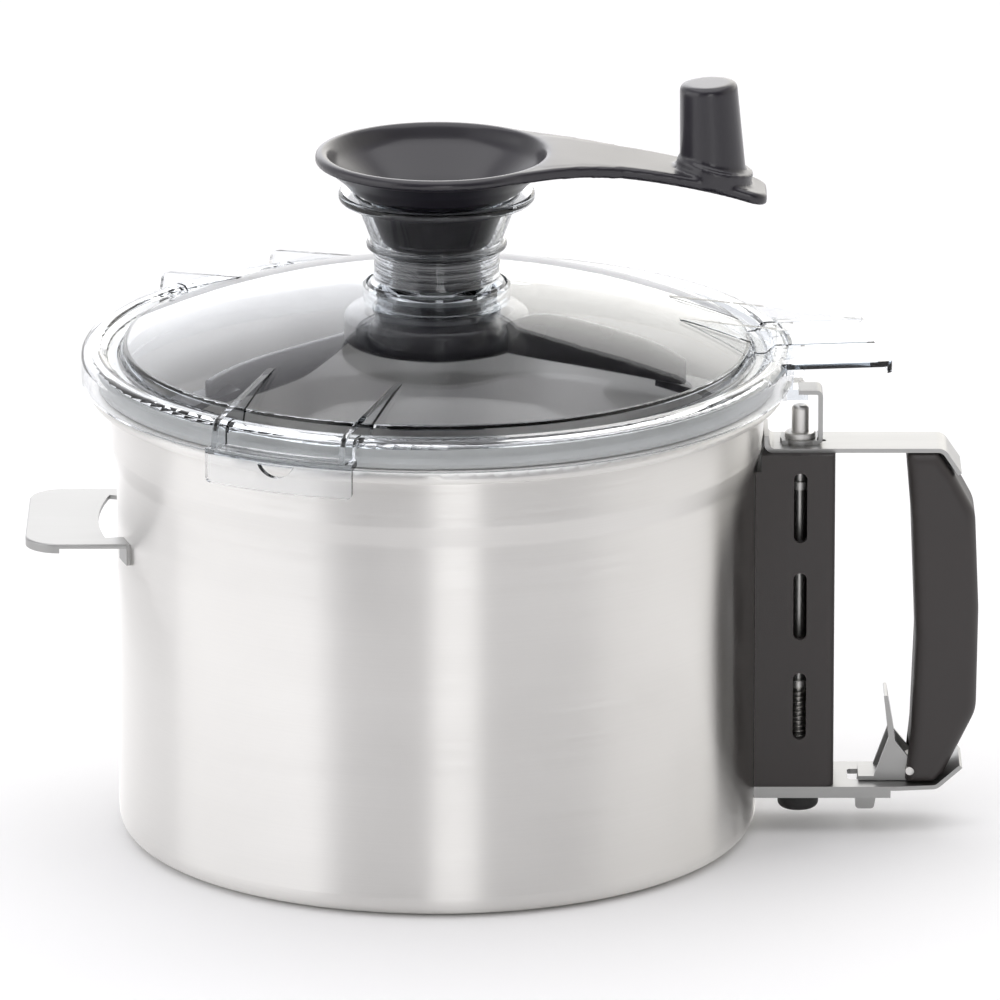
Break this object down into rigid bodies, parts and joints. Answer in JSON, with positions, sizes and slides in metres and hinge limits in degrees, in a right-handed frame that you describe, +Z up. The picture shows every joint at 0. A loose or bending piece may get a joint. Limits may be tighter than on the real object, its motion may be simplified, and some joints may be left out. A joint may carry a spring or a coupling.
{
  "type": "food processor bowl",
  "caption": "Steel cutter-mixer bowl with latching side handle, clear domed locking lid, and a hand crank that turns the wiper inside.",
  "frame": {"origin": "on the bowl's axis at the base, at the mouth of the centre sleeve", "axes": "+X towards the side handle, +Z up along the bowl's axis"},
  "size_m": [0.3567, 0.2717, 0.2883],
  "materials": {
    "bowl_steel": "satin, brushed round",
    "bracket_steel": "bright",
    "blade_steel": "ground",
    "rod_steel": "turned",
    "spring_steel": "drawn wire",
    "clear_lid": "clear moulded polycarbonate",
    "dark_plastic": "semi-gloss moulded",
    "handle_plastic": "matt moulded",
    "black_rubber": "matt",
    "seal_rubber": "translucent silicone",
    "bush_plastic": "turned acetal",
    "magnet_metal": "nickel plated"
  },
  "bodies": {
    "bowl": {"bowl_shell": "bowl_steel", "shaft_sleeve": "bowl_steel", "left_lug": "bracket_steel", "top_bracket": "bracket_steel", "bottom_bracket": "bracket_steel", "rod_housing": "handle_plastic", "handle_grip": "handle_plastic", "grip_screw": "rod_steel", "guide_bush": "rod_steel", "bush_nut": "rod_steel", "lower_bush": "bush_plastic", "lid_hook": "bracket_steel", "lever_pin": "rod_steel", "return_spring": "spring_steel", "lever_spring": "spring_steel"},
    "interlock_rod": {"interlock_rod": "rod_steel", "rod_collar": "rod_steel", "spring_seat": "rod_steel", "rod_foot": "black_rubber", "rod_magnet": "magnet_metal"},
    "release_lever": {"release_lever": "bracket_steel"},
    "lid_seal": {"lid_seal": "seal_rubber"},
    "lid": {"lid_shell": "clear_lid", "neck_collar": "clear_lid", "neck_seal": "seal_rubber"},
    "crank": {"crank_handle": "dark_plastic", "wiper_hub": "dark_plastic", "hub_ring": "dark_plastic", "wiper_arm_left": "dark_plastic", "wiper_arm_right": "dark_plastic", "scraper_left": "dark_plastic", "scraper_right": "dark_plastic"},
    "knife": {"knife_hub": "dark_plastic", "knife_cap": "dark_plastic", "drive_insert": "rod_steel", "knife_blade_lower": "blade_steel", "knife_blade_upper": "blade_steel"}
  },
  "joints": [
    {"name": "lid_lift", "type": "slide", "parent": "bowl", "child": "lid_seal", "axis": [0, 0, 1], "range_m": [0, 0.19]},
    {"name": "lid_turn", "type": "hinge", "parent": "lid_seal", "child": "lid", "pos_m": [0, 0, 0.18], "axis": [0, 0, -1], "range_deg": [0, 7]},
    {"name": "crank_turn", "type": "hinge", "parent": "lid", "child": "crank", "pos_m": [0, 0, 0.25], "axis": [0, 0, 1], "continuous": true},
    {"name": "rod_press", "type": "slide", "parent": "bowl", "child": "interlock_rod", "axis": [0, 0, -1], "range_m": [0, 0.0046], "deforming": ["return_spring"]},
    {"name": "lever_squeeze", "type": "hinge", "parent": "bowl", "child": "release_lever", "pos_m": [0.1778, 0, 0.0234], "axis": [0, 1, 0], "range_deg": [0, 12], "stiffness_Nm_per_rad": 0.5, "springref_deg": -8.59},
    {"name": "knife_spin", "type": "hinge", "parent": "bowl", "child": "knife", "pos_m": [0, 0, 0.05], "axis": [0, 0, 1], "continuous": true}
  ],
  "couplings": [
    {"joint": "rod_press", "follows": "lid_turn", "m_per_rad": 0.03683}
  ]
}
